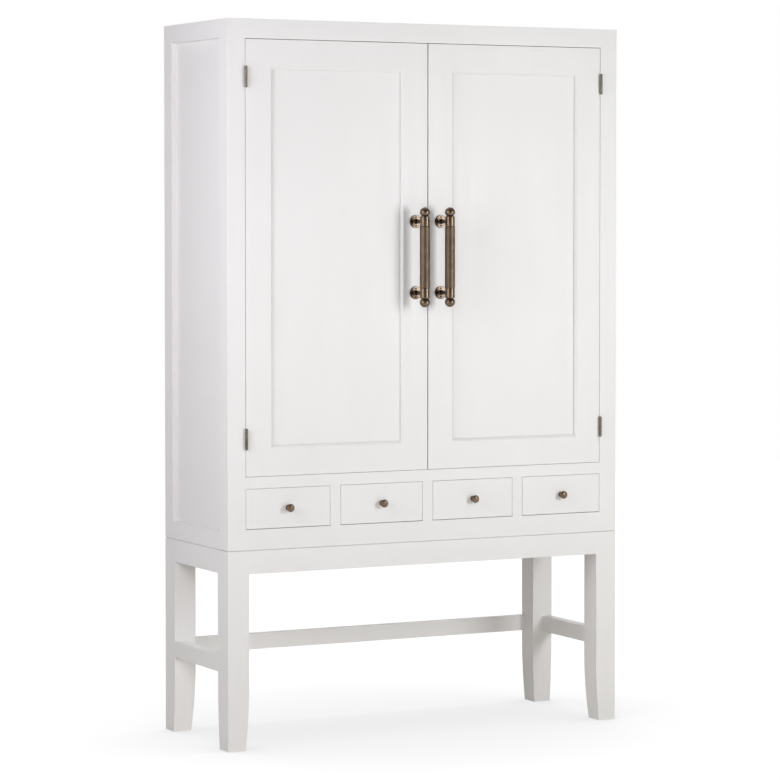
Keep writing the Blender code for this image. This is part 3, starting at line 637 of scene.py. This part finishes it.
def add_piece(name, shape, surfaces, body, stands_for=()):
    """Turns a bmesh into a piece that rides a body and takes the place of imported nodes."""
    piece = new_object(name, shape, surfaces)
    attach(piece, body)
    for node in stands_for:
        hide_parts(node)


def smooth_shape(shape):
    """Shades a shape smooth, up to its sharp edges."""
    for face in shape.faces:
        face.smooth = True
    for edge in shape.edges:
        edge.smooth = len(edge.link_faces) != 2 or edge.calc_face_angle() < EDGE_ANGLE


def filleted(profile, radius):
    """Rounds the inner corners of a profile of (radius, height) points."""
    points = [Vector(point) for point in profile]
    rounded = [points[0]]
    for before, corner, after in zip(points, points[1:], points[2:]):
        back = before - corner
        ahead = after - corner
        reach = min(radius, back.length * FILLET_SHARE, ahead.length * FILLET_SHARE)
        start = corner + back.normalized() * reach
        end = corner + ahead.normalized() * reach
        for step in range(FILLET_STEPS + 1):
            share = step / FILLET_STEPS
            first = start.lerp(corner, share)
            second = corner.lerp(end, share)
            rounded.append(first.lerp(second, share))
    rounded.append(points[-1])
    return rounded


def ring(shape, radii, height):
    """Points round the z axis at one height, one for each radius."""
    made = []
    for step, radius in enumerate(radii):
        turn = 2 * math.pi * step / len(radii)
        made.append(shape.verts.new((radius * math.cos(turn), radius * math.sin(turn), height)))
    return made


def turned(profile):
    """A closed turned shape about the z axis, from a profile that starts and ends on the axis."""
    shape = bmesh.new()
    rings = []
    for radius, height in profile:
        if radius < ON_AXIS:
            rings.append([shape.verts.new((0, 0, height))])
        else:
            rings.append(ring(shape, [radius] * LATHE_STEPS, height))
    for lower, upper in zip(rings, rings[1:]):
        band(shape, lower, upper)
    turn_outward(shape)
    smooth_shape(shape)
    return shape


def placed(shape, matrix):
    """The same shape, moved by a matrix."""
    bmesh.ops.transform(shape, matrix=matrix, verts=shape.verts)
    return shape


def facing(direction, place):
    """A matrix that turns the z axis to a direction and moves the origin to a place."""
    turn = Vector((0, 0, 1)).rotation_difference(Vector(direction)).to_matrix().to_4x4()
    return Matrix.Translation(place) @ turn


def joined(shapes):
    """One bmesh of several."""
    whole = bmesh.new()
    for shape in shapes:
        mesh = bpy.data.meshes.new("part_of_whole")
        shape.to_mesh(mesh)
        shape.free()
        whole.from_mesh(mesh)
        bpy.data.meshes.remove(mesh)
    return whole


def ellipse(radius, half_height, centre, start, end, steps):
    """Points of an upright ellipse arc, by angle from its waist."""
    angles = [start + (end - start) * step / steps for step in range(steps + 1)]
    return [(radius * math.cos(angle), centre + half_height * math.sin(angle)) for angle in angles]


def ball_end_profile(foot):
    """Neck and ball that close a collar, as (radius, height) points from the collar's end upward."""
    waist = math.acos(NECK_RADIUS / BALL_RADIUS)
    half = BALL_HEIGHT / 2
    centre = foot + NECK_HEIGHT + half * math.sin(waist)
    ball = ellipse(BALL_RADIUS, half, centre, -waist, math.pi / 2, BALL_STEPS)
    ball[-1] = (0, ball[-1][1])
    return [(NECK_RADIUS * NECK_FLARE, foot), (NECK_RADIUS * NECK_WAIST, foot + NECK_HEIGHT / 2)] + ball


def collar_shape():
    """A collar with its ball, standing on the end of the grip at height zero, closed underneath."""
    top = COLLAR_HEIGHT
    body = [
        (0, 0),
        (COLLAR_RADIUS - COLLAR_RECESS, 0),
        (COLLAR_RADIUS - COLLAR_RECESS, COLLAR_RECESS_HEIGHT),
        (COLLAR_RADIUS, COLLAR_CHAMFER),
        (COLLAR_RADIUS, top - COLLAR_CHAMFER),
        (COLLAR_RADIUS - COLLAR_CHAMFER, top),
        (NECK_RADIUS * NECK_FLARE, top),
    ]
    return turned(filleted(body, COLLAR_EDGE)[:-1] + ball_end_profile(top))


def knurled_band(shape, lower, upper, level):
    """Pairs of triangles between two rings of the knurling, which meet in its points."""
    columns = len(lower)
    for column in range(columns):
        after = (column + 1) % columns
        corners = (lower[column], lower[after], upper[after], upper[column])
        first = 0 if (level + column) % 2 else 1
        shape.faces.new((corners[first], corners[first + 1], corners[first + 2]))
        shape.faces.new((corners[first], corners[first + 2], corners[(first + 3) % 4]))


def knurled_shape(length):
    """The grip: a tube of small pyramids with plain chamfered ends, closed, centred on height zero."""
    columns = 2 * KNURL_AROUND
    pitch = 2 * math.pi * GRIP_RADIUS / columns
    plain = 2 * GRIP_EDGE
    rows = 2 * round((length - 2 * plain) / pitch / 2)
    half = length / 2
    end_radii = [GRIP_RADIUS - GRIP_EDGE] * columns
    plain_radii = [GRIP_RADIUS] * columns
    shape = bmesh.new()
    rings = [ring(shape, end_radii, -half), ring(shape, plain_radii, -half + GRIP_EDGE)]
    for row in range(rows + 1):
        radii = [GRIP_RADIUS - KNURL_DEPTH * ((row + column) % 2) for column in range(columns)]
        rings.append(ring(shape, radii, -half + plain + (length - 2 * plain) * row / rows))
    rings += [ring(shape, plain_radii, half - GRIP_EDGE), ring(shape, end_radii, half)]
    for level, (lower, upper) in enumerate(zip(rings, rings[1:])):
        if 1 < level < rows + 2:
            knurled_band(shape, lower, upper, level)
        else:
            band(shape, lower, upper)
    shape.faces.new(reversed(rings[0]))
    shape.faces.new(rings[-1])
    turn_outward(shape)
    return shape


def arm_shape(reach):
    """Rosette and arm on the z axis: the rosette's back at height zero, the arm's end at this reach."""
    body = [
        (0, 0),
        (ROSETTE_RADIUS - ROSETTE_BACK_CHAMFER, 0),
        (ROSETTE_RADIUS, ROSETTE_EDGE),
        (ROSETTE_RADIUS, ROSETTE_RIM - ROSETTE_EDGE),
        (ROSETTE_RADIUS - ROSETTE_FRONT_CHAMFER, ROSETTE_RIM),
        (ARM_RADIUS + ARM_FLARE, ROSETTE_FACE),
        (ARM_RADIUS, ROSETTE_FACE + ARM_FLARE),
        (ARM_RADIUS, reach),
        (0, reach),
    ]
    return turned(filleted(body, ARM_EDGE))


def screw_shape(turn):
    """A slotted screw head on the z axis, in two halves beside the slot, turned by this angle."""
    shape = bmesh.new()
    half_slot = SCREW_RADIUS * SLOT_WIDTH / 2
    floor_height = SCREW_DOME * (1 - SLOT_DEPTH)
    reach = math.sqrt(SCREW_RADIUS ** 2 - half_slot ** 2)
    feet = []
    for side in (1, -1):
        rims = []
        for share, rise in SCREW_LEVELS:
            level = SCREW_RADIUS * share
            begin = math.asin(min(1.0, half_slot / level))
            arc = [begin + (math.pi - 2 * begin) * step / SCREW_STEPS for step in range(SCREW_STEPS + 1)]
            points = [(level * math.cos(angle), side * level * math.sin(angle)) for angle in arc]
            rims.append([shape.verts.new((x, y, SCREW_DOME * rise)) for x, y in points])
        for lower, upper in zip(rims, rims[1:]):
            for step in range(SCREW_STEPS):
                shape.faces.new((lower[step], lower[step + 1], upper[step + 1], upper[step]))
        shape.faces.new(rims[-1])
        foot = [shape.verts.new((x, side * half_slot, floor_height)) for x in (reach, -reach)]
        wall = [rim[0] for rim in rims] + [rim[-1] for rim in reversed(rims)] + foot[::-1]
        shape.faces.new(wall)
        feet.append(foot)
    near, far = feet
    shape.faces.new(near + far[::-1])
    turn_outward(shape)
    smooth_shape(shape)
    return placed(shape, Matrix.Rotation(turn, 4, "Z"))


def make_handle(side):
    """A door's bar handle: grip, collars, arms and the screws of the rosettes."""
    node = f"handle_{side}"
    body = f"door_{side}"
    low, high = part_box(node)
    axis_x = (low.x + high.x) / 2
    axis_y = low.y + BALL_RADIUS
    middle = (low.z + high.z) / 2
    back = high.y
    grip_length = ARM_SPACING - COLLAR_HEIGHT
    grip = placed(knurled_shape(grip_length), Matrix.Translation((axis_x, axis_y, middle)))
    add_piece(f"pull_grip_{side}", grip, [KNURLED], body, [node])
    for end, sign in (("upper", 1), ("lower", -1)):
        foot = (axis_x, axis_y, middle + sign * grip_length / 2)
        collar = placed(collar_shape(), facing((0, 0, sign), foot))
        add_piece(f"pull_collar_{side}_{end}", collar, [BRONZE], body, [node])
        height = middle + sign * ARM_SPACING / 2
        arm = placed(arm_shape(back - axis_y), facing(FORWARD, (axis_x, back, height)))
        add_piece(f"pull_arm_{side}_{end}", arm, [DARK_BRONZE], body, [node])
        heads = [
            placed(screw_shape(turn), facing(FORWARD, (axis_x, back - ROSETTE_RIM, height + offset)))
            for offset, turn in ((SCREW_OFFSET, UPPER_SLOT_TURN), (-SCREW_OFFSET, LOWER_SLOT_TURN))
        ]
        # The screw heads carry the painted slot shade over their whole face.
        add_piece(f"pull_screws_{side}_{end}", joined(heads), [SCREW_SHADE_METAL], body)


def make_knob(number):
    """A drawer's turned knob."""
    node = f"drawer_knob_{number}"
    low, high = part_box(node)
    radius = (high.x - low.x) / 2
    length = high.y - low.y
    centre = (low + high) / 2
    half = KNOB_HEAD_HEIGHT * KNOB_CROWN_SHARE
    crown = ellipse(radius, half, length - half, KNOB_CROWN_START, KNOB_CROWN_END, KNOB_CROWN_STEPS)
    face = crown[-1][1]
    stem = [
        (0, 0),
        (KNOB_FOOT, 0),
        (KNOB_FOOT, KNOB_FOOT_HEIGHT),
        (KNOB_NECK + KNOB_FLARE, KNOB_FOOT_HEIGHT + KNOB_FLARE_START),
        (KNOB_NECK, KNOB_FOOT_HEIGHT + KNOB_FLARE_END),
        (KNOB_NECK, length - KNOB_HEAD_HEIGHT - KNOB_UNDERCUT),
        crown[0],
    ]
    button = [
        crown[-1],
        (KNOB_RING + KNOB_RING_OUTSIDE, face),
        (KNOB_RING, face - KNOB_RING_DEPTH),
        (KNOB_RING - KNOB_RING_INSIDE, face),
        (KNOB_RING * KNOB_BUTTON_SHARE, length - KNOB_BUTTON_DROP),
        (0, length),
    ]
    profile = filleted(stem, KNOB_NECK_EDGE)[:-1] + crown + filleted(button, KNOB_FACE_EDGE)[1:]
    knob = placed(turned(profile), facing(FORWARD, (centre.x, high.y, centre.z)))
    add_piece(f"turned_knob_{number}", knob, [BRONZE], f"drawer_{number}", [node])


def make_panel(side):
    """A door's panel with the groove in its face."""
    node = f"door_panel_{side}"
    low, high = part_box(node)
    start = DOOR_PANEL_TONGUE - QUIRK_REACH
    field = DOOR_PANEL_TONGUE + QUIRK_WIDTH
    steps = [
        (0, high.y - low.y),
        (0, 0),
        (start, 0),
        (start, QUIRK_DEPTH),
        (field, QUIRK_DEPTH),
        (field, QUIRK_EDGE),
        (field + QUIRK_EDGE, 0),
    ]
    shape = bmesh.new()
    rings = []
    for inset, depth in steps:
        aside, above = (QUIRK_LEFT, QUIRK_UP) if inset else (0, 0)
        left, right = low.x + inset - aside, high.x - inset - aside
        bottom, top = low.z + inset + above, high.z - inset + above
        corners = ((left, bottom), (right, bottom), (right, top), (left, top))
        rings.append([shape.verts.new((x, low.y + depth, z)) for x, z in corners])
    for first, second in zip(rings, rings[1:]):
        band(shape, first, second)
    shape.faces.new(rings[0])
    shape.faces.new(rings[-1])
    turn_outward(shape)
    add_piece(f"grooved_panel_{side}", shape, [PAINT["Z"]], f"door_{side}", [node])


def finish_nodes():
    """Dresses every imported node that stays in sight, and paints over the joints of the frames."""
    slips = []
    for solids in body_meshes().values():
        for name, _, _ in solids:
            if name.startswith(REPLACED):
                continue
            finish_node(name)
            widths, bridged, tree = sort_edges(name, solids)
            if name.startswith("hinge"):
                widths = {key: min(width, METAL_EDGE) for key, width in widths.items()}
            if name.startswith(FRAME_MEMBERS):
                slips += paint_bridges(bridged, tree)
            soften(NODES[name], widths)
    add_piece("joint_paint", joined(slips), [PAINT["X"]], "case")


def add_camera():
    """A camera set as the one that took the photograph."""
    data = bpy.data.cameras.new("camera")
    data.sensor_width = SENSOR
    data.lens = CAMERA_LENS
    data.shift_y = CAMERA_SHIFT
    camera = bpy.data.objects.new("camera", data)
    camera.location = CAMERA_PLACE
    camera.rotation_euler = (math.pi / 2 + CAMERA_TILT, 0, CAMERA_YAW)
    bpy.context.scene.collection.objects.link(camera)
    bpy.context.scene.camera = camera


def seen_rays(tree):
    """One for rays that show the surface, to the camera or in a reflection, and zero for its light."""
    path = add_node(tree, "ShaderNodeLightPath").outputs
    shown = path["Is Camera Ray"]
    for other in ("Is Glossy Ray", "Is Transmission Ray"):
        values = {0: shown, 1: path[other]}
        shown = add_node(tree, "ShaderNodeMath", values, operation="MAXIMUM").outputs[0]
    return shown


def chosen(tree, factor, first, second):
    """One shader where the factor is zero, and the other where it is one."""
    values = {0: factor, 1: first.outputs[0], 2: second.outputs[0]}
    return add_node(tree, "ShaderNodeMixShader", values)


def add_floor():
    """A pale floor that shows as white, with a soft shadow where the object closes it off."""
    made = bpy.data.materials.new("studio_floor")
    made.use_nodes = True
    tree = made.node_tree
    tree.nodes.remove(tree.nodes["Principled BSDF"])
    lit = add_node(tree, "ShaderNodeBsdfDiffuse", {"Color": FLOOR_BOUNCE})
    values = {"Distance": SHADOW_REACH}
    openness = add_node(tree, "ShaderNodeAmbientOcclusion", values, samples=SHADOW_SAMPLES).outputs["AO"]
    tone = between(tree, openness, SHADOW_TONES, SHADOW_SPAN)
    shown = add_node(tree, "ShaderNodeEmission", {"Color": WHITE, "Strength": tone})
    whole = chosen(tree, seen_rays(tree), lit, shown)
    tree.links.new(whole.outputs[0], tree.nodes["Material Output"].inputs["Surface"])
    shape = bmesh.new()
    bmesh.ops.create_grid(shape, x_segments=1, y_segments=1, size=FLOOR_SIDE / 2)
    floor = new_object("studio_floor", shape, [made])
    floor.location = (0, 0, -FLOOR_DROP)


def add_surround():
    """A white surround, darker towards the front in reflections."""
    world = bpy.data.worlds.new("studio")
    world.use_nodes = True
    tree = world.node_tree
    lit = tree.nodes["Background"]
    lit.inputs["Color"].default_value = SURROUND_TINT
    lit.inputs["Strength"].default_value = SURROUND_STRENGTH
    path = add_node(tree, "ShaderNodeLightPath").outputs
    direction = add_node(tree, "ShaderNodeTexCoord").outputs["Generated"]
    depth = add_node(tree, "ShaderNodeSeparateXYZ", {0: direction}).outputs["Y"]
    room = between(tree, depth, ROOM_TONES, ROOM_SPAN)
    reflected = add_node(tree, "ShaderNodeBackground", {"Color": WHITE, "Strength": room})
    shown = add_node(tree, "ShaderNodeBackground", {"Color": WHITE, "Strength": 1.0})
    unseen = chosen(tree, path["Is Glossy Ray"], lit, reflected)
    whole = chosen(tree, path["Is Camera Ray"], unseen, shown)
    tree.links.new(whole.outputs[0], tree.nodes["World Output"].inputs["Surface"])
    bpy.context.scene.world = world


def add_light(name, watts, tint, size, glossy, turn, distance, height):
    """A soft light turned about the object and aimed at the middle of its doors."""
    data = bpy.data.lights.new(name, "AREA")
    data.shape = "RECTANGLE"
    data.size, data.size_y = size
    data.energy = watts
    data.color = tint
    light = bpy.data.objects.new(name, data)
    angle = math.radians(turn)
    light.location = (distance * math.sin(angle), -distance * math.cos(angle), height)
    aim = Vector((0, 0, LIGHT_AIM)) - light.location
    light.rotation_euler = aim.to_track_quat("-Z", "Y").to_euler()
    light.visible_glossy = glossy
    bpy.context.scene.collection.objects.link(light)


finish_nodes()
for side in SIDES:
    make_panel(side)
    make_handle(side)
for number in range(1, DRAWERS + 1):
    make_knob(number)

add_camera()
add_floor()
add_surround()
for name, settings in STUDIO_LIGHTS.items():
    add_light(name, **settings)
bpy.context.scene.view_settings.view_transform = "Standard"
